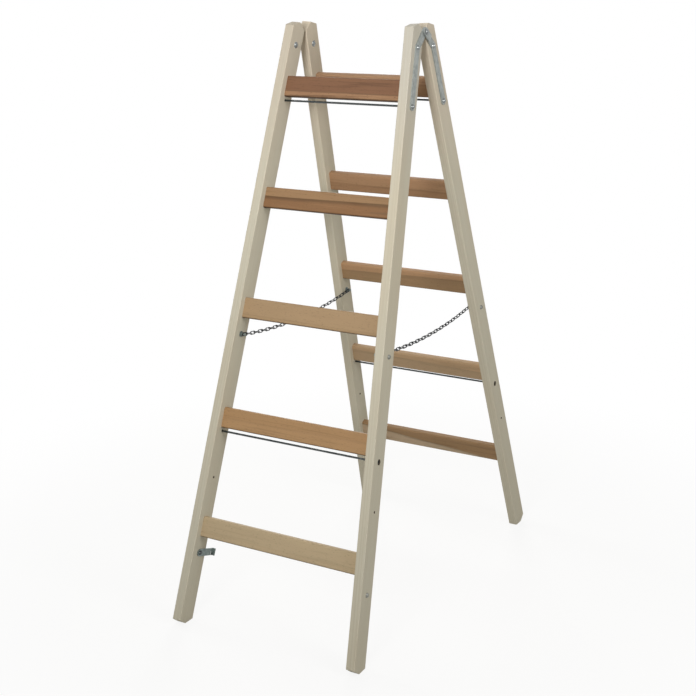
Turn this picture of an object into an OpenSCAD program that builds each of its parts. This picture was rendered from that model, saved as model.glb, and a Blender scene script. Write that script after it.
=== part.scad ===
// Free-standing wooden trestle ladder. Two rung sections lean against each other, joined at the
// top by strap hinges and held apart by a chain on each side. A hook on each side locks the
// folded sections together. Millimetres: X runs along the rungs, -Y is the front, Z is up, and
// the floor is at Z = 0, with the origin midway between the feet.

/* [Stance] */
// Lean of each section from upright when the ladder stands open, in degrees
lean = 17.5; // [13:0.5:21]
// Distance from the hinge pivot down a section to the inner corner of its foot
foot_reach = 1513; // [1480:1:1700]
// Half the width over the stiles' outer faces, at the hinge pivot
half_top_width = 178.4; // [150:0.4:220]
// Splay of each stile from the middle line of its section, in degrees
splay = 3.25; // [2:0.05:4]
// Half the gap between the stiles of the folded sections
half_gap = 2; // [1.5:0.25:5]

/* [Stiles] */
// Thickness of a stile across the ladder
stile_thickness = 24; // [21:0.5:30]
// Depth of a stile from its inner edge to its outer edge
stile_depth = 54; // [48:0.5:70]
// Radius of a stile's long edges
stile_edge_radius = 2; // [1:0.25:3]
// Height of the ridge at a stile's top above the hinge pivot
top_rise = 11.5; // [8:0.5:14]
// Height of the two slopes below that ridge
top_slope = 14.5; // [13:0.5:20]
// Width of the flat under a foot, measured across the stile
foot_flat = 29; // [20:0.5:40]
// Height of the bevel at the outer edge of a foot
foot_bevel = 18; // [10:0.5:30]
// Diameter of the spare holes through the stiles
spare_d = 6; // [4:0.5:8]
// Distance of the spare holes below the middle of the fourth rung
spare_drop = 152.5; // [100:0.5:170]

/* [Rungs] */
// Distance from the hinge pivot to the middle of the top rung
first_rung = 151.5; // [140:0.5:200]
// Spacing of the rungs
rung_spacing = 280; // [250:1:290]
// Height of a rung, along the stile
rung_height = 52; // [40:0.5:56]
// Thickness of a rung
rung_thickness = 19; // [15:0.5:25]
// Radius of a rung's long edges
rung_edge_radius = 5; // [2:0.25:7]
// Depth of the mortise that takes a rung's end
mortise_depth = 15; // [10:0.5:17]

/* [Tie rods] */
// Diameter of a tie rod
rod_d = 5; // [4:0.5:6]
// Distance of a tie rod below the middle of its rung
rod_drop = 35; // [33:0.5:45]
// Diameter of the wider mouth of a rod's hole, at the stile's inner face
mouth_d = 8; // [7:0.5:10]
// Depth of that mouth
mouth_depth = 6; // [3:0.5:8]
// Diameter of the recess for a rod's nut
recess_d = 14; // [13.5:0.5:18]
// Depth of that recess
recess_depth = 9; // [8:0.5:12]
// Width across the corners of a rod's nut
rod_nut_d = 10; // [9:0.5:13]
// Height of a rod's nut
rod_nut_height = 5; // [4:0.5:6]
// Diameter of the domed caps, heads and nuts
dome_d = 12; // [11:0.5:16]
// Height of the domed caps, heads and nuts
dome_height = 5; // [4:0.25:7]

/* [Hinges] */
// Thickness of a hinge strap
strap_thickness = 3; // [2:0.25:4]
// Width of a hinge strap
strap_width = 20; // [17:0.5:24]
// Distance from the hinge pivot down to the upper hinge bolt
hinge_bolt_drop = 46; // [44:1:70]
// Diameter of the upper hinge bolts
hinge_bolt_d = 6; // [5:0.5:8]
// Diameter of the nuts on those bolts
hinge_nut_d = 16; // [15:0.5:18]
// Height of those nuts
hinge_nut_height = 3.5; // [3.5:0.25:5]
// Diameter of the hinge rivets
rivet_d = 8; // [6:0.5:10]
// Diameter of a hinge rivet's head
rivet_head_d = 14; // [12:0.5:17]
// Height of a hinge rivet's head
rivet_head_height = 4; // [3:0.25:6]
// Gap between the two straps at the rivet
strap_gap = 0.8; // [0.6:0.1:1.5]

/* [Chains] */
// Distance of the chain bolts below the middle of the third rung
chain_drop = 67; // [50:0.5:90]
// Diameter of the wire of a chain link
wire_d = 2.5; // [2:0.1:2.8]
// Clear width inside a chain link
link_width = 5; // [5:0.1:6.5]
// Slope of the chain at its ends, in degrees
end_slope = 8.5; // [4:0.25:12]
// Distance of the chain's middle plane from the stile's inner face
chain_offset = 8; // [7.5:0.25:12]
// Diameter of the chain bolts
chain_bolt_d = 4.5; // [3.5:0.25:4.5]
// Diameter of the spacers and nuts on the chain bolts
spacer_d = 8; // [7:0.5:10]
// Diameter of the washers under the chain bolts
washer_d = 15; // [13:0.5:18]
// Thickness of those washers
washer_thickness = 1; // [0.8:0.1:1.5]
// Height of the nuts on the chain bolts
chain_nut_height = 4; // [3:0.25:5]

/* [Hooks] */
// Distance of the hook bolts below the middle of the lowest rung
hook_drop = 66.5; // [60:0.5:75]
// Droop of a hook below square to the stile, in degrees
hook_droop = 2.5; // [0:0.5:8]
// Width of a hook
hook_width = 18.5; // [16:0.5:24]
// Thickness of a hook
hook_thickness = 2.5; // [2:0.25:4]
// Length of a hook beyond its catch screw
hook_tip = 9; // [8.5:0.5:16]
// Height of the finger lip bent up at a hook's tip
lip_height = 6; // [4:0.5:10]
// Diameter of the hook bolts
hook_bolt_d = 6; // [5:0.5:8]
// Distance of the catch screws from the fold plane
catch_w = 20; // [17:0.5:28]
// Diameter of the catch screws
catch_d = 4; // [3.5:0.25:6]
// Diameter of a catch screw's head
catch_head_d = 9; // [8:0.5:10.5]
// Height of a catch screw's head
catch_head_height = 3; // [2:0.25:5]
// Length of a catch screw inside the wood
catch_depth = 15; // [10:0.5:18]

/* [Hidden] */
// Glue line between a rung and its mortise
glue_gap = 0.1;
// Radial clearance of a pin in its hole
pin_gap = 0.05;
// Clearance between pieces that turn beside each other
play = 0.3;
// Clearance between one chain link's wire and the next link
link_gap = 0.4;
// Step that a chain link's length is rounded to
link_grain = 0.002;
// Inset of a strap's straight sides from its round ends
bar_inset = 0.25;
// Inset of a stepped arm's faces from the eye and the strap that it joins
arm_inset = 0.05;
// Relief behind a front strap's eye, which passes over the rear stile
eye_relief = 0.6;
// Depth of the blind bores in domed caps and nuts
cap_bore = 2.5;
// Overrun of every cut
overrun = 1;
// Share of the distance from pivot to hinge bolt where the rear strap starts to step outwards
step_start_share = 0.46;
// Share of that distance where the step ends
step_end_share = 0.62;
// Rungs in a section
rung_count = 5;
// Links in each half of a chain, beside the middle link
half_links = 15;
// Links in the run next to a chain bolt
end_links = 8;
$fn = 48;

mid_w = half_gap + stile_depth / 2;
outer_w = half_gap + stile_depth;
pivot_height = foot_reach * cos(lean) - half_gap * sin(lean);
blank_length = (foot_reach + stile_depth) / cos(splay);
across = 2 * (half_top_width + blank_length * tan(splay));
last_rung = rung_count - 1;
rod_rungs = [0, 3];
chain_u = rung_u(2) + chain_drop;
hook_l = (rung_u(last_rung) + hook_drop) / cos(splay);
catch_l = hook_l + (mid_w + catch_w) * tan(hook_droop);
catch_reach = (mid_w + catch_w) / cos(hook_droop);
spare_l = (rung_u(3) + spare_drop) / cos(splay);
inner_face = stile_thickness + play;
arm_length = norm([hinge_bolt_drop, mid_w]);
arm_angle = atan2(mid_w, hinge_bolt_drop);
step_height = strap_thickness + strap_gap;
bar_width = strap_width - 2 * bar_inset;

// Place down a section, from the hinge pivot, of a rung's middle
function rung_u(i) = first_rung + i * rung_spacing;
// Place down a section of the tie rod below a rung
function rod_u(i) = rung_u(i) + rod_drop;
// Half width of a section over the stiles' outer faces, at a place down the section
function outer_x(u) = half_top_width + u * tan(splay);
// Half width between the stiles' inner faces
function inner_x(u) = outer_x(u) - stile_thickness / cos(splay);
// Place down a section where the floor crosses it, at a distance from the fold plane
function floor_u(w) = (pivot_height + w * sin(lean)) / cos(lean);
function total(list) = list * [for (item = list) 1];

// Chain: links 1 to half_links run down from the front bolt, and the next is the middle link.
// Odd links stand upright on edge and even links lie flat.
middle_link = half_links + 1;
end_seat = link_width / 2;
wire_seat = wire_d / 2 + link_gap;
half_span = chain_u * sin(lean) + mid_w * cos(lean);
chain_z = pivot_height - chain_u * cos(lean) + mid_w * sin(lean);
chain_x = inner_x(chain_u) - chain_offset;
function is_flat(i) = i % 2 == 0;
function slope(i) = end_slope * (middle_link - i) / half_links;
// What a link's share of the chain's length has beyond the clear length of a link
function extra(i) = i == 1 ? -end_seat - wire_seat : is_flat(i) ? wire_d : -2 * wire_seat;
run = [for (i = [1 : half_links]) i];
slope_cosines = [for (i = run) cos(slope(i))];
extra_reach = [for (i = run) extra(i) * cos(slope(i))];
full_length = (half_span - total(extra_reach) - wire_d / 2) / (total(slope_cosines) + 1 / 2);
link_length = round(full_length / link_grain) * link_grain;
function link_span(i) = link_length + extra(i);
function link_step(i) = link_span(i) * [cos(slope(i)), -sin(slope(i))];
half_chain = total([for (i = run) link_step(i)[0]]) + (link_length + wire_d) / 2;
function link_start(i) = i == 1 ? [-half_chain, chain_z] : link_start(i - 1) + link_step(i - 1);
function lead(i) = is_flat(i) ? (link_length + wire_d) / 2 : link_length / 2 - (i == 1 ? end_seat : wire_seat);
function link_middle(i) = link_start(i) + lead(i) * [cos(slope(i)), -sin(slope(i))];

SIDES = ["left", "right"];
ENDS = ["front", "rear"];
CHAIN_RUNS = ["front_end", "front_run", "middle", "rear_run", "rear_end"];
NODES = concat(
    [for (e = ENDS, s = SIDES) str(e, "_", s, "_stile")],
    [for (e = ENDS, i = [1 : rung_count]) str(e, "_rung_", i)],
    [for (e = ENDS, p = ["upper", "lower"]) str(e, "_", p, "_tie_rod")],
    [for (e = ENDS, p = ["rod_nuts", "rod_caps", "hinge_bolts", "hinge_nuts"]) str(e, "_", p)],
    [for (e = ENDS, p = ["chain_bolts", "chain_washers"]) str(e, "_", p)],
    [for (e = ENDS, s = SIDES) str(e, "_", s, "_hinge_strap")],
    [for (s = SIDES) str(s, "_hinge_rivet")],
    ["hook_bolts", "hook_nuts", "catch_screws"],
    [for (s = SIDES) str(s, "_hook")],
    [for (s = SIDES, r = CHAIN_RUNS) str(s, "_chain_", r)],
    [for (s = SIDES) str(s, "_chain_end_pin")]
);
node = "all";

// Frames. A section's own frame has its origin on the hinge pivot, -Y outwards and -Z down the
// section. A stile's frame has its origin on the outer face at pivot height and +X out of it.
module section(end) {
    mirror([0, end == "rear" ? 1 : 0, 0])
        translate([0, 0, pivot_height])
            rotate([-lean, 0, 0])
                children();
}
module side(name) {
    mirror([name == "left" ? 1 : 0, 0, 0])
        children();
}
module both_sides() {
    for (s = SIDES)
        side(s) children();
}
module stile_frame() {
    translate([half_top_width, 0, 0])
        rotate([0, -splay, 0])
            children();
}
// A place in a section, w out from the fold plane and u down from the pivot
module at(w, u, x = 0) {
    translate([x, -w, -u])
        children();
}
// Turns a shape drawn along +Z to lie along +X
module along_x() {
    rotate([0, 90, 0])
        children();
}
// Turns an outline drawn in Y and Z, extruded along X
module profile(length) {
    rotate([90, 0, 90])
        linear_extrude(length)
            children();
}

// Shared fasteners
module dome(d, height) {
    ball = (pow(height, 2) + pow(d / 2, 2)) / (2 * height);
    intersection() {
        translate([0, 0, height - ball])
            sphere(ball);
        cylinder(d = d, h = height);
    }
}
module cap(d, height, bore_d) {
    difference() {
        dome(d, height);
        translate([0, 0, -overrun])
            cylinder(d = bore_d + 2 * pin_gap, h = cap_bore + pin_gap + overrun);
    }
}
module ring(outer_d, inner_d, height, sides = $fn) {
    difference() {
        cylinder(d = outer_d, h = height, $fn = sides);
        translate([0, 0, -overrun])
            cylinder(d = inner_d + 2 * pin_gap, h = height + 2 * overrun);
    }
}
// A round-headed bolt along +X: its head starts at x = 0 and its shank runs back from there
module bolt(d, shank) {
    along_x() {
        dome(dome_d, dome_height);
        translate([0, 0, -shank])
            cylinder(d = d, h = shank + dome_height / 2);
    }
}

// Stiles
module rounded_outline(size, r) {
    square([size[0] - 2 * r, size[1]], center = true);
    square([size[0], size[1] - 2 * r], center = true);
    for (x = [-1, 1], y = [-1, 1])
        translate([x * (size[0] / 2 - r), y * (size[1] / 2 - r)])
            circle(r);
}
module stile_blank() {
    stile_frame()
        difference() {
            translate([-stile_thickness / 2, -mid_w, -blank_length])
                linear_extrude(blank_length + top_rise + overrun)
                    rounded_outline([stile_thickness, stile_depth], stile_edge_radius);
            ridge_cut();
        }
}
// What is cut away above the two slopes at a stile's top
module ridge_cut() {
    reach = stile_depth / 2 + overrun;
    drop = reach * 2 * top_slope / stile_depth;
    translate([-stile_thickness - overrun, 0, 0])
        profile(stile_thickness + 2 * overrun)
            polygon([
                [-mid_w, top_rise],
                [-mid_w + reach, top_rise - drop],
                [-mid_w + reach, top_rise + 2 * overrun],
                [-mid_w - reach, top_rise + 2 * overrun],
                [-mid_w - reach, top_rise - drop]
            ]);
}
module foot_bevel_cut() {
    flat_w = half_gap + foot_flat;
    start = -floor_u(flat_w);
    finish = foot_bevel - floor_u(outer_w);
    low = -blank_length - overrun;
    profile(across)
        polygon([
            [-flat_w, start],
            [-outer_w, finish],
            [-outer_w - overrun, finish],
            [-outer_w - overrun, low],
            [-flat_w, low]
        ]);
}
module floor_block() {
    translate([0, -foot_reach, -stile_depth])
        cube([across, foot_reach, stile_depth]);
}
module rod_cuts() {
    for (i = rod_rungs) {
        at(mid_w, rod_u(i))
            along_x()
                cylinder(d = rod_d + 2 * pin_gap, h = across);
        at(mid_w, rod_u(i), inner_x(rod_u(i)) - stile_thickness)
            along_x()
                cylinder(d = mouth_d, h = stile_thickness + mouth_depth);
    }
    lower = rod_u(rod_rungs[1]);
    at(mid_w, lower, outer_x(lower) - recess_depth)
        along_x()
            cylinder(d = recess_d, h = recess_depth + stile_thickness);
}
module chain_bolt_cut() {
    at(mid_w, chain_u)
        along_x()
            cylinder(d = chain_bolt_d + 2 * pin_gap, h = across);
}
module through_stile(d, l) {
    stile_frame()
        at(mid_w, l, -stile_thickness - overrun)
            along_x()
                cylinder(d = d + 2 * pin_gap, h = stile_thickness + 2 * overrun);
}
module catch_cut() {
    stile_frame()
        at(catch_w, catch_l, -stile_thickness - overrun)
            along_x()
                cylinder(d = catch_d + 2 * pin_gap, h = catch_depth + pin_gap + overrun);
}
module stile(end, name) {
    color("wheat")
        side(name)
            mirror([0, end == "rear" ? 1 : 0, 0])
                difference() {
                    section("front")
                        difference() {
                            stile_blank();
                            foot_bevel_cut();
                            for (i = [0 : last_rung])
                                rung_bar(i, glue_gap);
                            rod_cuts();
                            chain_bolt_cut();
                            through_stile(hinge_bolt_d, hinge_bolt_drop);
                            through_stile(spare_d - 2 * pin_gap, spare_l);
                            if (end == "front")
                                through_stile(hook_bolt_d, hook_l);
                            else
                                catch_cut();
                        }
                    floor_block();
                }
}

// Rungs
module rung_outline(gap) {
    rounded_outline([rung_thickness + 2 * gap, rung_height + 2 * gap], rung_edge_radius + gap);
}
module rung_bar(i, gap) {
    half = inner_x(rung_u(i)) + mortise_depth + gap;
    at(mid_w, rung_u(i), -half)
        profile(2 * half)
            rung_outline(gap);
}
module rung(end, i) {
    color("peru")
        section(end)
            rung_bar(i, 0);
}

// Tie rods. The upper rod holds the lower ends of the hinge straps under domed caps, and the
// lower rod ends in a nut at the bottom of a recess.
upper_rod = rod_u(rod_rungs[0]);
lower_rod = rod_u(rod_rungs[1]);
cap_base = outer_x(upper_rod + dome_d / 2) + strap_thickness / cos(splay) + pin_gap;
nut_base = outer_x(lower_rod) - recess_depth + washer_thickness;
module tie_rod(end, u, half) {
    color("darkgray")
        section(end)
            at(mid_w, u, -half)
                along_x()
                    cylinder(d = rod_d, h = 2 * half);
}
module rod_nuts(end) {
    color("gray")
        section(end)
            both_sides() {
                at(mid_w, lower_rod, nut_base)
                    along_x()
                        ring(rod_nut_d, rod_d, rod_nut_height, 6);
                at(mid_w, lower_rod, nut_base - washer_thickness)
                    along_x()
                        ring(recess_d - 2 * play, rod_d, washer_thickness);
            }
}
module rod_caps(end) {
    color("silver")
        section(end)
            both_sides()
                at(mid_w, upper_rod, cap_base)
                    along_x()
                        cap(dome_d, dome_height, rod_d);
}

// Hinges. A strap lies on the stile's outer face from the upper tie rod to the upper bolt, and
// its arm runs from that bolt to the eye on the pivot. The rear arm steps out over the front eye.
module strap_outline() {
    l = upper_rod / cos(splay);
    translate([-mid_w, -hinge_bolt_drop])
        circle(d = strap_width);
    translate([-mid_w, -l])
        circle(d = strap_width);
    translate([-mid_w - bar_width / 2, -l])
        square([bar_width, l - hinge_bolt_drop]);
}
module arm_outline() {
    circle(d = strap_width);
    rotate(-arm_angle)
        translate([-bar_width / 2, -arm_length])
            square([bar_width, arm_length]);
}
// An arm with a step in it: lengths along the arm, from the pivot, and heights above the stile
module stepped_arm() {
    step_start = arm_length * step_start_share;
    step_end = arm_length * step_end_share;
    low = arm_inset;
    high = strap_thickness - arm_inset;
    rotate([-arm_angle, 0, 0])
        rotate([0, 90, 0])
            rotate([90, 0, 0])
                linear_extrude(bar_width, center = true)
                    polygon([
                        [0, step_height + low],
                        [step_start, step_height + low],
                        [step_end, low],
                        [arm_length, low],
                        [arm_length, high],
                        [step_end, high],
                        [step_start, step_height + high],
                        [0, step_height + high]
                    ]);
}
module strap_holes() {
    at(0, 0, half_top_width - overrun)
        along_x()
            cylinder(d = rivet_d + 2 * pin_gap, h = stile_thickness);
    at(mid_w, upper_rod, inner_x(upper_rod))
        along_x()
            cylinder(d = rod_d + 2 * pin_gap, h = 2 * stile_thickness);
    stile_frame()
        at(mid_w, hinge_bolt_drop, -overrun)
            along_x()
                cylinder(d = hinge_bolt_d + 2 * pin_gap, h = strap_thickness + 2 * overrun);
}
module front_strap() {
    difference() {
        stile_frame()
            difference() {
                profile(strap_thickness) {
                    strap_outline();
                    arm_outline();
                }
                translate([-overrun, -half_gap, -strap_width])
                    cube([eye_relief + overrun, strap_width, 2 * strap_width]);
            }
        strap_holes();
    }
}
module rear_strap() {
    difference() {
        stile_frame() {
            profile(strap_thickness)
                strap_outline();
            stepped_arm();
            translate([step_height, 0, 0])
                along_x()
                    cylinder(d = strap_width, h = strap_thickness);
        }
        strap_holes();
    }
}
module hinge_strap(end, name) {
    color("silver")
        side(name)
            section(end) {
                if (end == "front")
                    front_strap();
                else
                    rear_strap();
            }
}
tilt = strap_width / 2 * tan(splay);
rivet_base = half_top_width + (step_height + strap_thickness) / cos(splay) + tilt + pin_gap;
rivet_end = half_top_width + eye_relief + tilt;
module hinge_rivet(name) {
    color("gainsboro")
        side(name)
            section("front") {
                at(0, 0, rivet_base)
                    along_x()
                        dome(rivet_head_d, rivet_head_height);
                at(0, 0, rivet_end)
                    along_x()
                        cylinder(d = rivet_d, h = rivet_base - rivet_end + rivet_head_height / 2);
            }
}
module hinge_bolts(end) {
    color("gainsboro")
        section(end)
            both_sides()
                stile_frame()
                    at(mid_w, hinge_bolt_drop, strap_thickness)
                        bolt(hinge_bolt_d, strap_thickness + stile_thickness + cap_bore);
}
module hinge_nuts(end) {
    color("silver")
        section(end)
            both_sides()
                stile_frame()
                    at(mid_w, hinge_bolt_drop, -stile_thickness)
                        rotate([0, -90, 0])
                            cap(hinge_nut_d, hinge_nut_height, hinge_bolt_d);
}

// Chains. The rear end link hangs on a pin of its own that stands close to the rear chain bolt,
// so the chain can leave that bolt while the sections close.
washer_base = inner_x(chain_u - washer_d / 2) - washer_thickness;
link_face = wire_d / 2 + play;
head_base = outer_x(chain_u + dome_d / 2) + pin_gap;
nut_end = chain_x - link_face - chain_nut_height;
module chain_bolts(end) {
    inner_end = end == "front" ? nut_end : washer_base;
    color("gainsboro")
        section(end)
            both_sides()
                at(mid_w, chain_u, head_base)
                    bolt(chain_bolt_d, head_base - inner_end);
}
module chain_washers(end) {
    color("silver")
        section(end)
            both_sides() {
                at(mid_w, chain_u, washer_base)
                    along_x()
                        ring(washer_d, chain_bolt_d, washer_thickness);
                if (end == "front") {
                    at(mid_w, chain_u, chain_x + link_face)
                        along_x()
                            ring(spacer_d, chain_bolt_d, washer_base - pin_gap - chain_x - link_face);
                    at(mid_w, chain_u, nut_end)
                        along_x()
                            ring(spacer_d, chain_bolt_d, chain_nut_height, 6);
                }
            }
}
module chain_end_pin(name) {
    outer_end = washer_base - play;
    color("gainsboro")
        side(name)
            section("rear") {
                at(mid_w, chain_u, nut_end)
                    along_x()
                        cylinder(d = chain_bolt_d, h = outer_end - nut_end);
                at(mid_w, chain_u, chain_x + link_face)
                    along_x()
                        cylinder(d = spacer_d, h = outer_end - chain_x - link_face);
                at(mid_w, chain_u, nut_end)
                    along_x()
                        cylinder(d = spacer_d, h = chain_nut_height, $fn = 6);
            }
}
module link() {
    straight = link_length - link_width;
    middle_r = (link_width + wire_d) / 2;
    for (s = [-1, 1])
        translate([-straight / 2, s * middle_r, 0])
            along_x()
                cylinder(d = wire_d, h = straight);
    for (turn = [0, 180])
        rotate([0, 0, turn])
            translate([straight / 2, 0, 0])
                rotate([0, 0, -90])
                    rotate_extrude(angle = 180)
                        translate([middle_r, 0])
                            circle(d = wire_d);
}
module placed_link(i) {
    middle = link_middle(i);
    translate([chain_x, middle[0], middle[1]])
        rotate([-slope(i), 0, 0])
            rotate([is_flat(i) ? 0 : 90, 0, 90])
                link();
}
module chain_run(name, part) {
    first = part == "middle" ? middle_link : part == "front_end" || part == "rear_end" ? 1 : end_links + 1;
    last = part == "middle" ? middle_link : first == 1 ? end_links : half_links;
    to_rear = part == "rear_run" || part == "rear_end";
    color("darkgray")
        side(name)
            mirror([0, to_rear ? 1 : 0, 0])
                for (i = [first : last])
                    placed_link(i);
}

// Hooks. A hook swings on its bolt beside the front stile and drops over the rear stile's catch screw.
// It is drawn with its bolt at the origin and its tip along +Y, then turned down by its droop.
module hook_plate() {
    tip = catch_reach + hook_tip;
    difference() {
        union() {
            along_x()
                cylinder(d = hook_width, h = hook_thickness);
            translate([0, 0, -hook_width / 2])
                cube([hook_thickness, tip, hook_width]);
            translate([-lip_height, tip - hook_thickness, -hook_width / 2])
                cube([lip_height + hook_thickness, hook_thickness, hook_width]);
        }
        translate([-overrun, 0, 0])
            along_x()
                cylinder(d = hook_bolt_d + 2 * pin_gap, h = hook_thickness + 2 * overrun);
        translate([-overrun, catch_reach, 0])
            catch_slot();
    }
}
module hook(name) {
    color("silver")
        side(name)
            section("front")
                stile_frame()
                    at(mid_w, hook_l, -inner_face - hook_thickness)
                        rotate([-hook_droop, 0, 0])
                            hook_plate();
}
module catch_slot() {
    slot_d = catch_d + 2 * play;
    length = hook_thickness + 2 * overrun;
    along_x()
        cylinder(d = slot_d, h = length);
    translate([0, -slot_d / 2, -hook_width])
        cube([length, slot_d, hook_width]);
}
hook_nut_base = inner_face + hook_thickness + play;
module hook_bolts() {
    color("gainsboro")
        section("front")
            both_sides()
                stile_frame()
                    at(mid_w, hook_l)
                        bolt(hook_bolt_d, hook_nut_base + cap_bore);
}
module hook_nuts() {
    color("silver")
        section("front")
            both_sides()
                stile_frame()
                    at(mid_w, hook_l, -hook_nut_base)
                        rotate([0, -90, 0])
                            cap(dome_d, dome_height, hook_bolt_d);
}
module catch_screws() {
    color("silver")
        section("rear")
            both_sides()
                stile_frame()
                    at(catch_w, catch_l, -hook_nut_base) {
                        along_x()
                            cylinder(d = catch_d, h = hook_nut_base - stile_thickness + catch_depth);
                        rotate([0, -90, 0])
                            dome(catch_head_d, catch_head_height);
                    }
}

function shown(name) = node == "all" || node == name;
for (e = ENDS) {
    for (s = SIDES) {
        if (shown(str(e, "_", s, "_stile"))) stile(e, s);
        if (shown(str(e, "_", s, "_hinge_strap"))) hinge_strap(e, s);
    }
    for (i = [1 : rung_count])
        if (shown(str(e, "_rung_", i))) rung(e, i - 1);
    if (shown(str(e, "_upper_tie_rod"))) tie_rod(e, upper_rod, cap_base + cap_bore);
    if (shown(str(e, "_lower_tie_rod"))) tie_rod(e, lower_rod, nut_base + rod_nut_height);
    if (shown(str(e, "_rod_nuts"))) rod_nuts(e);
    if (shown(str(e, "_rod_caps"))) rod_caps(e);
    if (shown(str(e, "_hinge_bolts"))) hinge_bolts(e);
    if (shown(str(e, "_hinge_nuts"))) hinge_nuts(e);
    if (shown(str(e, "_chain_bolts"))) chain_bolts(e);
    if (shown(str(e, "_chain_washers"))) chain_washers(e);
}
for (s = SIDES) {
    if (shown(str(s, "_hinge_rivet"))) hinge_rivet(s);
    if (shown(str(s, "_hook"))) hook(s);
    if (shown(str(s, "_chain_end_pin"))) chain_end_pin(s);
    for (r = CHAIN_RUNS)
        if (shown(str(s, "_chain_", r))) chain_run(s, r);
}
if (shown("hook_bolts")) hook_bolts();
if (shown("hook_nuts")) hook_nuts();
if (shown("catch_screws")) catch_screws();
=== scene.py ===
"""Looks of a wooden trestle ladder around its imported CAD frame: wood, steel, light and camera."""

import math

import bpy
from mathutils import Matrix, Vector

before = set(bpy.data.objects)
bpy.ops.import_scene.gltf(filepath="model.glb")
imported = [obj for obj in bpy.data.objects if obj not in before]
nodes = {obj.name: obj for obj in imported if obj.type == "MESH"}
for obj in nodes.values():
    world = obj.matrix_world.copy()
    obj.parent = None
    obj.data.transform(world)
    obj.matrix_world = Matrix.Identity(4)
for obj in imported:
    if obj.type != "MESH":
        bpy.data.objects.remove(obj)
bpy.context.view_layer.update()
scene = bpy.context.scene

# The ladder's main measures, as in the part's source, in metres and radians
LEAN = math.radians(17.5)
SPLAY = math.radians(3.25)
PIVOT_HEIGHT = 1.442372
MID_DEPTH = 0.029
FIRST_RUNG = 0.1515
RUNG_SPACING = 0.28
RUNG_HEIGHT = 0.052
RUNG_COUNT = 5
HALF_TOP_WIDTH = 0.1784
SPARE_HOLE = 1.144
SPARE_RADIUS = 0.003
ROD_RECESS = 1.0265
RECESS_RADIUS = 0.007
RECESS_DEPTH = 0.009

PIVOT = Vector((0, 0, PIVOT_HEIGHT))

# Camera, fitted to the photograph's perspective
CAMERA_PLACE = Vector((1.562761, -2.732960, 1.564638))
CAMERA_YAW = 0.50539766
CAMERA_PITCH = -0.27609063
CAMERA_ROLL = 0.00449526
FOCAL_PIXELS = 1249.952
PRINCIPAL_POINT = (378.382, 332.606)
PICTURE_SIZE = 696
SENSOR = 36.0
CLIP_END = 100


def add_camera():
    data = bpy.data.cameras.new("camera")
    data.sensor_width = SENSOR
    data.lens = FOCAL_PIXELS / PICTURE_SIZE * SENSOR
    data.shift_x = (PICTURE_SIZE / 2 - PRINCIPAL_POINT[0]) / PICTURE_SIZE
    data.shift_y = (PRINCIPAL_POINT[1] - PICTURE_SIZE / 2) / PICTURE_SIZE
    data.clip_end = CLIP_END
    camera = bpy.data.objects.new("camera", data)
    scene.collection.objects.link(camera)
    cos_yaw, sin_yaw = math.cos(CAMERA_YAW), math.sin(CAMERA_YAW)
    cos_pitch, sin_pitch = math.cos(CAMERA_PITCH), math.sin(CAMERA_PITCH)
    cos_roll, sin_roll = math.cos(CAMERA_ROLL), math.sin(CAMERA_ROLL)
    forward = Vector((-sin_yaw * cos_pitch, cos_yaw * cos_pitch, sin_pitch))
    level = Vector((cos_yaw, sin_yaw, 0))
    down = forward.cross(level)
    right = cos_roll * level + sin_roll * down
    up = sin_roll * level - cos_roll * down
    turn = Matrix((right, up, -forward)).transposed()
    camera.matrix_world = Matrix.Translation(CAMERA_PLACE) @ turn.to_4x4()
    scene.camera = camera


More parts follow.
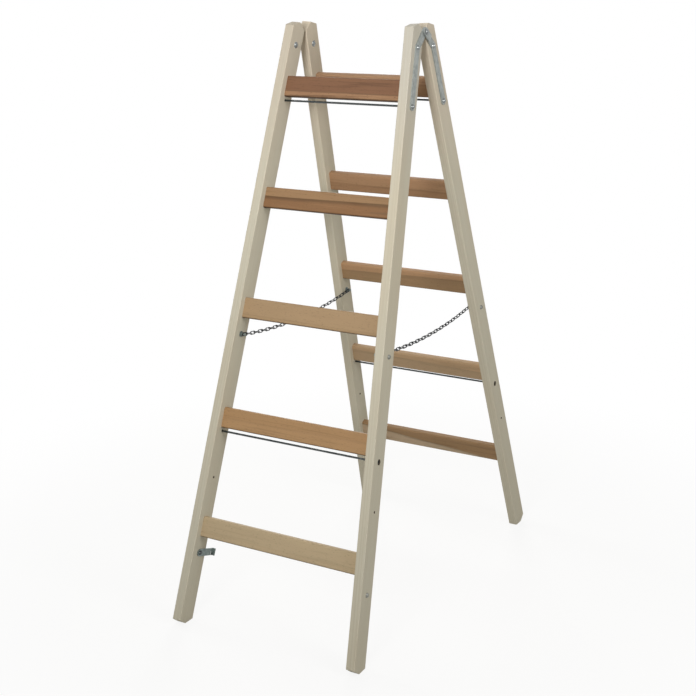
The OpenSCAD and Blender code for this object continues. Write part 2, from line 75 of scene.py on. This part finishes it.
class Tree:
    """A material's node tree, with short calls for the nodes used here."""

    def __init__(self, name):
        self.material = bpy.data.materials.new(name)
        self.material.use_nodes = True
        self.tree = self.material.node_tree
        self.tree.nodes.clear()
        self.out = self.add("ShaderNodeOutputMaterial")

    def add(self, kind, **props):
        node = self.tree.nodes.new(kind)
        for key, value in props.items():
            setattr(node, key, value)
        return node

    def link(self, source, target):
        """Join a socket to another, or set the other to a plain value."""
        if hasattr(source, "is_linked"):
            self.tree.links.new(source, target)
        else:
            target.default_value = source

    def place(self):
        return self.add("ShaderNodeTexCoord").outputs["Object"]

    def math(self, operation, a, b=0.0):
        node = self.add("ShaderNodeMath", operation=operation)
        self.link(a, node.inputs[0])
        self.link(b, node.inputs[1])
        return node.outputs[0]

    def hypotenuse(self, a, b):
        squares = self.math("ADD", self.math("MULTIPLY", a, a), self.math("MULTIPLY", b, b))
        return self.math("SQRT", squares)

    def dot(self, vector, constant):
        node = self.add("ShaderNodeVectorMath", operation="DOT_PRODUCT")
        self.link(vector, node.inputs[0])
        node.inputs[1].default_value = constant
        return node.outputs["Value"]

    def combine(self, x, y, z):
        node = self.add("ShaderNodeCombineXYZ")
        for source, target in zip((x, y, z), node.inputs):
            self.link(source, target)
        return node.outputs[0]

    def scaled(self, vector, scale):
        node = self.add("ShaderNodeVectorMath", operation="MULTIPLY")
        self.link(vector, node.inputs[0])
        node.inputs[1].default_value = scale
        return node.outputs[0]

    def noise(self, vector, scale=1.0, detail=2.0, roughness=0.5):
        node = self.add("ShaderNodeTexNoise")
        self.link(vector, node.inputs["Vector"])
        node.inputs["Scale"].default_value = scale
        node.inputs["Detail"].default_value = detail
        node.inputs["Roughness"].default_value = roughness
        return node.outputs["Fac"]

    def ramp(self, fac, low, high, from_value=0.0, to_value=1.0):
        """A smooth step between two values, from low to high."""
        node = self.add("ShaderNodeMapRange", interpolation_type="SMOOTHSTEP")
        self.link(fac, node.inputs["Value"])
        node.inputs["From Min"].default_value = low
        node.inputs["From Max"].default_value = high
        node.inputs["To Min"].default_value = from_value
        node.inputs["To Max"].default_value = to_value
        return node.outputs[0]

    def mix(self, fac, a, b):
        """A mix of two colours, each a socket or three numbers."""
        node = self.add("ShaderNodeMix", data_type="RGBA")
        self.link(fac, node.inputs[0])
        for value, target in ((a, node.inputs[6]), (b, node.inputs[7])):
            self.link(value if hasattr(value, "is_linked") else (*value, 1.0), target)
        return node.outputs[2]

    def bump(self, height, strength, distance):
        node = self.add("ShaderNodeBump")
        node.inputs["Strength"].default_value = strength
        node.inputs["Distance"].default_value = distance
        self.link(height, node.inputs["Height"])
        return node.outputs[0]

    def surface(self, color, roughness, normal, metallic=0.0):
        shader = self.add("ShaderNodeBsdfPrincipled")
        self.link(color, shader.inputs["Base Color"])
        self.link(roughness, shader.inputs["Roughness"])
        shader.inputs["Metallic"].default_value = metallic
        self.link(normal, shader.inputs["Normal"])
        self.link(shader.outputs[0], self.out.inputs["Surface"])
        return shader


def section_vector(x, w, u, end):
    """A vector of a section, w outwards and u down, in the frame's own axes."""
    y = u * math.sin(LEAN) + w * math.cos(LEAN)
    z = -u * math.cos(LEAN) + w * math.sin(LEAN)
    return Vector((x, -y if end == "front" else y, z))


def stile_axes(end, side):
    """Down, outwards and through a stile."""
    sign = 1 if side == "right" else -1
    down = section_vector(sign * math.sin(SPLAY), 0, math.cos(SPLAY), end)
    through = section_vector(sign * math.cos(SPLAY), 0, -math.sin(SPLAY), end)
    return down, section_vector(0, 1, 0, end), through


def outer_point(end, side, u):
    """The point in the middle of a stile's outer face, at a place down the section."""
    x = HALF_TOP_WIDTH + u * math.tan(SPLAY)
    return PIVOT + section_vector(x if side == "right" else -x, MID_DEPTH, u, end)


# Pale softwood. A ramp's numbers are where it starts and ends, and the values there if not 0 and 1.
PINE = (0.636, 0.604, 0.500)
PINE_LATE = (0.497, 0.440, 0.325)
PINE_WARM = (0.624, 0.548, 0.422)
PINE_GLOSS = 0.03
# Each stile: the tint of its upper end, and how strong it is. At the rear stiles it is lighter
# and pinker, a painted fill light between the sections; at the front ones it is darker.
TOP_TINTS_AND_PAINTED_FILL = {
    ("front", "left"): ((0.620, 0.550, 0.460), 0.70),
    ("front", "right"): ((0.600, 0.580, 0.530), 0.75),
    ("rear", "left"): ((0.700, 0.605, 0.495), 0.75),
    ("rear", "right"): ((0.690, 0.600, 0.500), 0.70),
}
TOP_REACH = (0.45, 0.05)
# How far each stile's grain lies along from the one before
STILE_SHIFT = 3.7
# Scales of the noises: down the stile, outwards and through it
PINE_SWAY_SCALE = (1.1, 9.0, 9.0)
PINE_BAND_SCALE = (0.9, 30.0, 30.0)
PINE_FIBRE_SCALE = (9.0, 420.0, 420.0)
PINE_CLOUD_SCALE = (2.6, 14.0, 14.0)
# Growth rings around a pith beside the stile: its sway and place, with a step from stile to stile
RINGS_PER_METRE = 260.0
PITH_SWAY_OUT, PITH_SWAY_THROUGH = 0.012, 0.010
PITH_OUT, PITH_OUT_STEP, PITH_OUT_STEPS = 0.035, 0.013, 3
PITH_THROUGH, PITH_THROUGH_STEP, PITH_THROUGH_STEPS = 0.030, 0.011, 2
LATE_RISE = (0.45, 0.92)
LATE_FALL = (1.0, 0.93)
LATE_SHARE = (0.35, 0.75, 0.10, 0.42)
PINE_CLOUD = (0.35, 0.75, 0.0, 0.55)
PINE_FIBRE = (0.30, 0.75, 0.22, 0.0)
PINE_ROUGH = (0.2, 0.8, 0.56, 0.72)
PINE_FIBRE_HEIGHT, PINE_LATE_HEIGHT = 0.6, -0.5
PINE_BUMP = (0.16, 0.0006)
# Painted shade inside the spare holes and the recesses of the tie rods
HOLE_PAINTED_SHADE = (0.060, 0.043, 0.030)
HOLE_SHADE_SHARE = 0.85
HOLE_RIM = 0.00012
RECESS_END = (1.3 * RECESS_DEPTH, 1.2 * RECESS_DEPTH)


def hole(t, down, out, axes, point, radius):
    """One inside a hole through a stile and nought on the faces around it."""
    a = t.math("SUBTRACT", down, axes[0].dot(point))
    b = t.math("SUBTRACT", out, axes[1].dot(point))
    return t.ramp(t.hypotenuse(a, b), radius + 2 * HOLE_RIM, radius + HOLE_RIM)


def pine(name, end, side, seed):
    t = Tree(name)
    place = t.place()
    axes = stile_axes(end, side)
    down, out, through = (t.dot(place, axis) for axis in axes)
    board = t.combine(t.math("ADD", down, seed * STILE_SHIFT), out, through)

    sway = t.noise(t.scaled(board, PINE_SWAY_SCALE), detail=2.0)
    pith_out = PITH_OUT + PITH_OUT_STEP * (seed % PITH_OUT_STEPS)
    pith_through = PITH_THROUGH + PITH_THROUGH_STEP * (seed % PITH_THROUGH_STEPS)
    across = t.math("ADD", out, t.math("MULTIPLY", sway, PITH_SWAY_OUT))
    across = t.math("SUBTRACT", across, pith_out)
    inward = t.math("ADD", through, t.math("MULTIPLY", sway, PITH_SWAY_THROUGH))
    inward = t.math("ADD", inward, pith_through)
    ring = t.math("FRACT", t.math("MULTIPLY", t.hypotenuse(across, inward), RINGS_PER_METRE))
    late = t.math("MULTIPLY", t.ramp(ring, *LATE_RISE), t.ramp(ring, *LATE_FALL))
    strength = t.ramp(t.noise(t.scaled(board, PINE_BAND_SCALE), detail=1.0), *LATE_SHARE)
    fibre = t.noise(t.scaled(board, PINE_FIBRE_SCALE), detail=3.0, roughness=0.6)
    cloud = t.noise(t.scaled(board, PINE_CLOUD_SCALE), detail=2.0)

    color = t.mix(t.ramp(cloud, *PINE_CLOUD), PINE, PINE_WARM)
    from_top = t.math("SUBTRACT", down, axes[0].dot(PIVOT))
    top_tint_and_painted_fill, share = TOP_TINTS_AND_PAINTED_FILL[(end, side)]
    # Upper end: painted fill light at the rear stiles, a darker tint at the front ones
    color = t.mix(t.ramp(from_top, *TOP_REACH, 0.0, share), color, top_tint_and_painted_fill)
    color = t.mix(t.math("MULTIPLY", late, strength), color, PINE_LATE)
    color = t.mix(t.ramp(fibre, *PINE_FIBRE), color, PINE_LATE)

    spare = hole(t, down, out, axes, outer_point(end, side, SPARE_HOLE), SPARE_RADIUS)
    point = outer_point(end, side, ROD_RECESS)
    level = (section_vector(0, 0, 1, end), axes[1])
    recess = hole(t, t.dot(place, level[0]), out, level, point, RECESS_RADIUS)
    depth = t.math("SUBTRACT", axes[2].dot(point), through)
    recess = t.math("MULTIPLY", recess, t.ramp(depth, *RECESS_END))
    # Painted shade inside the spare holes and the recesses
    inside = t.math("MULTIPLY", t.math("MAXIMUM", spare, recess), HOLE_SHADE_SHARE)
    color = t.mix(inside, color, HOLE_PAINTED_SHADE)

    fibre_height = t.math("MULTIPLY", fibre, PINE_FIBRE_HEIGHT)
    height = t.math("ADD", fibre_height, t.math("MULTIPLY", late, PINE_LATE_HEIGHT))
    shader = t.surface(color, t.ramp(fibre, *PINE_ROUGH), t.bump(height, *PINE_BUMP))
    shader.inputs["Specular IOR Level"].default_value = PINE_GLOSS
    return t.material


# Brown hardwood. Each rung: colours above and below a growth line, the line's places at the left
# and right ends as shares of the rung's height up from its middle, how dark the line is, how far
# the dark fades down from it, and how strong the streaks are. At rear rungs 2 to 4 the colour
# below the line is partly painted shade of the down-facing lower part.
RUNG_LOOKS = {
    ("front", 1): ((0.223, 0.112, 0.061), (0.365, 0.207, 0.111), -0.20, -0.24, 0.75, 0.07, 0.9),
    ("front", 2): ((0.340, 0.204, 0.104), (0.255, 0.132, 0.060), 0.06, 0.14, 0.80, 0.22, 0.9),
    ("front", 3): ((0.425, 0.289, 0.165), (0.418, 0.281, 0.156), -0.30, -0.36, 0.12, 0.10, 0.18),
    ("front", 4): ((0.429, 0.257, 0.124), (0.455, 0.275, 0.136), 0.02, 0.10, 0.16, 0.16, 0.5),
    ("front", 5): ((0.544, 0.425, 0.270), (0.540, 0.416, 0.262), -0.20, -0.26, 0.08, 0.10, 0.3),
    ("rear", 1): ((0.425, 0.255, 0.148), (0.365, 0.212, 0.112), 0.20, 0.16, 0.35, 0.16, 0.7),
    # At rear rungs 2 to 4 the darker colour below the line is partly painted shade of the
    # down-facing lower part
    ("rear", 2): ((0.383, 0.225, 0.123), (0.340, 0.194, 0.102), 0.00, -0.10, 0.20, 0.20, 0.6),
    ("rear", 3): ((0.440, 0.265, 0.144), (0.315, 0.203, 0.108), 0.12, 0.30, 0.15, 0.25, 0.5),
    ("rear", 4): ((0.533, 0.362, 0.214), (0.460, 0.325, 0.200), 0.30, 0.05, 0.15, 0.20, 0.4),
    ("rear", 5): ((0.355, 0.220, 0.113), (0.545, 0.415, 0.285), 0.32, -0.42, 0.45, 0.12, 0.8),
}
RUNG_HALF = 0.2
BEECH_GLOSS = 0.25
# How far each rung's grain lies along from the one before, and the rear section's from the front's
RUNG_SHIFT = 1.9
REAR_SHIFT = 11.0
# Scales of the noises: along the rung, up it and outwards
BEECH_SWAY_SCALE = (5.0, 14.0, 14.0)
BEECH_CLOUD_SCALE = (7.0, 22.0, 22.0)
STREAK_SCALE = (6.0, 150.0, 150.0)
FLECK_SCALE = (120.0, 640.0, 640.0)
BEECH_FIBRE_SCALE = (22.0, 800.0, 800.0)
# The growth line, as shares of the rung's height
LINE_SWAY = 0.10
LINE_SPLIT = (-0.025, 0.025)
LINE_FADE_END = -0.01
LINE_TOP = (0.03, 0.0)
LINE_SHADE = 0.40
# Ramps and shades of the rest
BEECH_CLOUD, BEECH_CLOUD_SHADE = (0.35, 0.75, 0.0, 0.22), 0.80
DARK_STREAK, DARK_STREAK_SHARE, DARK_STREAK_SHADE = (0.52, 0.70), 0.70, 0.55
PALE_STREAK, PALE_STREAK_SHARE, PALE_STREAK_SHADE = (0.46, 0.24), 0.40, 1.25
FLECK, FLECK_SHADE = (0.64, 0.74, 0.0, 0.50), 0.34
# A dark line along each rung's lower edge: painted shade under the rung
UNDERSIDE_SHADE_RAMP, UNDERSIDE_PAINTED_SHADE = (-0.43, -0.49, 0.0, 0.80), (0.045, 0.026, 0.014)
BEECH_ROUGH = (0.25, 0.75, 0.50, 0.64)
BEECH_BUMP = (0.12, 0.0004)


def shade(color, share):
    return tuple(min(1.0, share * c) for c in color)


def beech(name, end, number):
    above, below, left, right, darkness, fade, streaks = RUNG_LOOKS[(end, number)]
    t = Tree(name)
    place = t.place()
    u = FIRST_RUNG + (number - 1) * RUNG_SPACING
    middle = PIVOT + section_vector(0, MID_DEPTH, u, end)
    up_axis, out_axis = -section_vector(0, 0, 1, end), section_vector(0, 1, 0, end)
    along = t.dot(place, (1, 0, 0))
    up = t.math("SUBTRACT", t.dot(place, up_axis), up_axis.dot(middle))
    out = t.math("SUBTRACT", t.dot(place, out_axis), out_axis.dot(middle))
    seed = number * RUNG_SHIFT + (REAR_SHIFT if end == "rear" else 0.0)
    board = t.combine(t.math("ADD", along, seed), up, out)
    height = t.math("DIVIDE", up, RUNG_HEIGHT)

    sway = t.math("SUBTRACT", t.noise(t.scaled(board, BEECH_SWAY_SCALE), detail=3.0), 0.5)
    bend = t.math("MULTIPLY", along, (right - left) / (2 * RUNG_HALF))
    level = t.math("SUBTRACT", t.math("ADD", height, t.math("MULTIPLY", sway, LINE_SWAY)), bend)
    level = t.math("SUBTRACT", level, (left + right) / 2)
    line = t.math("MULTIPLY", t.ramp(level, -fade, LINE_FADE_END), t.ramp(level, *LINE_TOP))
    # Below the line: grain colour, at rear rungs 2 to 4 partly painted shade
    color = t.mix(t.ramp(level, *LINE_SPLIT), below, above)
    color = t.mix(t.math("MULTIPLY", line, darkness), color, shade(below, LINE_SHADE))

    cloud = t.noise(t.scaled(board, BEECH_CLOUD_SCALE), detail=2.0)
    color = t.mix(t.ramp(cloud, *BEECH_CLOUD), color, shade(above, BEECH_CLOUD_SHADE))
    streak = t.noise(t.scaled(board, STREAK_SCALE), detail=3.0, roughness=0.62)
    dark = t.ramp(streak, *DARK_STREAK, 0.0, DARK_STREAK_SHARE * streaks)
    color = t.mix(dark, color, shade(above, DARK_STREAK_SHADE))
    pale = t.ramp(streak, *PALE_STREAK, 0.0, PALE_STREAK_SHARE * streaks)
    color = t.mix(pale, color, shade(above, PALE_STREAK_SHADE))
    fleck = t.noise(t.scaled(board, FLECK_SCALE), detail=1.0, roughness=0.4)
    color = t.mix(t.ramp(fleck, *FLECK), color, shade(above, FLECK_SHADE))
    # Painted shade along the rung's lower edge
    color = t.mix(t.ramp(height, *UNDERSIDE_SHADE_RAMP), color, UNDERSIDE_PAINTED_SHADE)

    fibre = t.noise(t.scaled(board, BEECH_FIBRE_SCALE), detail=2.0)
    shader = t.surface(color, t.ramp(fibre, *BEECH_ROUGH), t.bump(fibre, *BEECH_BUMP))
    shader.inputs["Specular IOR Level"].default_value = BEECH_GLOSS
    return t.material


# Each steel: its pale and dark colours, how metallic and how rough it is, and the scale of its
# patches
STEELS = {
    "zinc": ((0.36, 0.385, 0.375), (0.27, 0.295, 0.285), 0.55, 0.50, 90.0),
    "dull_zinc": ((0.225, 0.272, 0.262), (0.148, 0.180, 0.174), 0.60, 0.45, 90.0),
    "bright_zinc": ((0.27, 0.285, 0.285), (0.15, 0.16, 0.16), 0.95, 0.18, 90.0),
    "worn_zinc": ((0.29, 0.295, 0.268), (0.21, 0.215, 0.192), 0.45, 0.50, 90.0),
    "rod_steel": ((0.085, 0.095, 0.095), (0.050, 0.058, 0.060), 0.9, 0.32, 40.0),
    "chain_steel": ((0.040, 0.043, 0.047), (0.014, 0.015, 0.016), 0.9, 0.34, 260.0),
}
STEEL_GRAIN_SCALE = 1400.0
STEEL_PATCH = (0.35, 0.70)
STEEL_ROUGH, STEEL_SMOOTHER, STEEL_ROUGHER = (0.3, 0.7), 0.07, 0.08
STEEL_BUMP = (0.08, 0.0002)


def steel(name, color, dark, metallic, rough, patches):
    t = Tree(name)
    place = t.place()
    patch = t.noise(place, scale=patches, detail=3.0, roughness=0.6)
    grain = t.noise(place, scale=STEEL_GRAIN_SCALE, detail=2.0)
    tone = t.mix(t.ramp(patch, *STEEL_PATCH), color, dark)
    roughness = t.ramp(patch, *STEEL_ROUGH, rough - STEEL_SMOOTHER, rough + STEEL_ROUGHER)
    t.surface(tone, roughness, t.bump(grain, *STEEL_BUMP), metallic)
    return t.material


def steel_of(node):
    """The name of the steel that a metal piece is made of."""
    if "_chain_" in node and not node.endswith(("_bolts", "_washers", "_pin")):
        return "chain_steel"
    if node.endswith(("chain_bolts", "hook_bolts")):
        return "worn_zinc"
    if "tie_rod" in node or node.endswith(("rod_nuts", "hook_nuts")):
        return "rod_steel"
    if node.endswith("_hook") or "_chain_" in node:
        return "dull_zinc"
    return "zinc" if "strap" in node else "bright_zinc"


def assign(node, material):
    mesh = nodes[node].data
    mesh.materials.clear()
    mesh.materials.append(material)


def dress():
    seed = 1
    for end in ("front", "rear"):
        for side in ("left", "right"):
            name = f"{end}_{side}_stile"
            assign(name, pine(name, end, side, seed))
            seed += 1
        for number in range(1, RUNG_COUNT + 1):
            name = f"{end}_rung_{number}"
            assign(name, beech(name, end, number))
    steels = {name: steel(name, *look) for name, look in STEELS.items()}
    for name in nodes:
        if not (name.endswith("_stile") or "_rung_" in name):
            assign(name, steels[steel_of(name)])


# Floor and light. The floor and the surround are white to the camera and in reflections, and dim
# to the light that they send back to the object.
FLOOR_SIZE = 400.0
FLOOR_WHITE = (1.0, 1.0, 1.0, 1.0)
FLOOR_BOUNCE = (0.44, 0.43, 0.40)
FLOOR_GLOW = 0.84
FLOOR_GLOW_FAR = 1.0
SHADOW_REACH = (0.6, 1.7)
AMBIENT_COLOR = (1.0, 0.985, 0.93, 1.0)
AMBIENT = 0.43


def seen_directly(tree):
    """One for rays of the camera, of reflections and through glass, and nought for the rest."""
    path = tree.nodes.new("ShaderNodeLightPath")
    seen = path.outputs["Is Camera Ray"]
    for other in ("Is Glossy Ray", "Is Transmission Ray"):
        either = tree.nodes.new("ShaderNodeMath")
        either.operation = "MAXIMUM"
        tree.links.new(seen, either.inputs[0])
        tree.links.new(path.outputs[other], either.inputs[1])
        seen = either.outputs[0]
    return seen


def add_floor():
    mesh = bpy.data.meshes.new("floor")
    half = FLOOR_SIZE / 2
    corners = [(-half, -half, 0), (half, -half, 0), (half, half, 0), (-half, half, 0)]
    mesh.from_pydata(corners, [], [(0, 1, 2, 3)])
    floor = bpy.data.objects.new("floor", mesh)
    scene.collection.objects.link(floor)
    t = Tree("floor")
    seen = seen_directly(t.tree)
    matte = t.add("ShaderNodeBsdfDiffuse")
    t.link(t.mix(seen, FLOOR_BOUNCE, FLOOR_WHITE[:3]), matte.inputs["Color"])
    glow = t.add("ShaderNodeEmission")
    glow.inputs["Color"].default_value = FLOOR_WHITE
    reach = t.add("ShaderNodeVectorMath", operation="LENGTH")
    t.link(t.place(), reach.inputs[0])
    share = t.ramp(reach.outputs["Value"], *SHADOW_REACH, FLOOR_GLOW, FLOOR_GLOW_FAR)
    blend = t.add("ShaderNodeMixShader")
    t.link(t.math("MULTIPLY", seen, share), blend.inputs[0])
    t.link(matte.outputs[0], blend.inputs[1])
    t.link(glow.outputs[0], blend.inputs[2])
    t.link(blend.outputs[0], t.out.inputs["Surface"])
    mesh.materials.append(t.material)


def add_world():
    world = bpy.data.worlds.new("studio")
    scene.world = world
    world.use_nodes = True
    tree = world.node_tree
    tree.nodes.clear()
    out = tree.nodes.new("ShaderNodeOutputWorld")
    dim = tree.nodes.new("ShaderNodeBackground")
    dim.inputs[0].default_value = AMBIENT_COLOR
    dim.inputs[1].default_value = AMBIENT
    white = tree.nodes.new("ShaderNodeBackground")
    white.inputs[0].default_value = FLOOR_WHITE
    blend = tree.nodes.new("ShaderNodeMixShader")
    tree.links.new(seen_directly(tree), blend.inputs[0])
    tree.links.new(dim.outputs[0], blend.inputs[1])
    tree.links.new(white.outputs[0], blend.inputs[2])
    tree.links.new(blend.outputs[0], out.inputs[0])


# Each lamp: its place and aim, its size, the spread of its beam in degrees, its power and colour
LAMPS = {
    "key": ((0.5, -3.0, 1.9), (0, 0, 1.45), 1.2, 78, 11.8, (1.0, 0.99, 0.97)),
    "side": ((3.2, -0.6, 1.9), (0, 0, 1.3), 1.4, 85, 8.0, (1.0, 0.98, 0.95)),
    "back": ((-1.5, 3.0, 1.9), (0, 0, 1.3), 1.4, 85, 13.0, (1.0, 0.99, 0.97)),
    "left": ((-3.2, 0.4, 1.9), (0, 0, 1.3), 1.4, 85, 8.0, (1.0, 0.98, 0.95)),
}


def add_lamp(name, place, aim, size, spread, power, color):
    data = bpy.data.lights.new(name, "AREA")
    data.shape = "DISK"
    data.size = size
    data.spread = math.radians(spread)
    data.energy = power
    data.color = color
    lamp = bpy.data.objects.new(name, data)
    scene.collection.objects.link(lamp)
    lamp.location = place
    lamp.rotation_euler = (Vector(aim) - Vector(place)).to_track_quat("-Z", "Y").to_euler()


add_camera()
dress()
add_floor()
add_world()
for lamp_name, lamp_look in LAMPS.items():
    add_lamp(lamp_name, *lamp_look)
scene.view_settings.view_transform = "Standard"
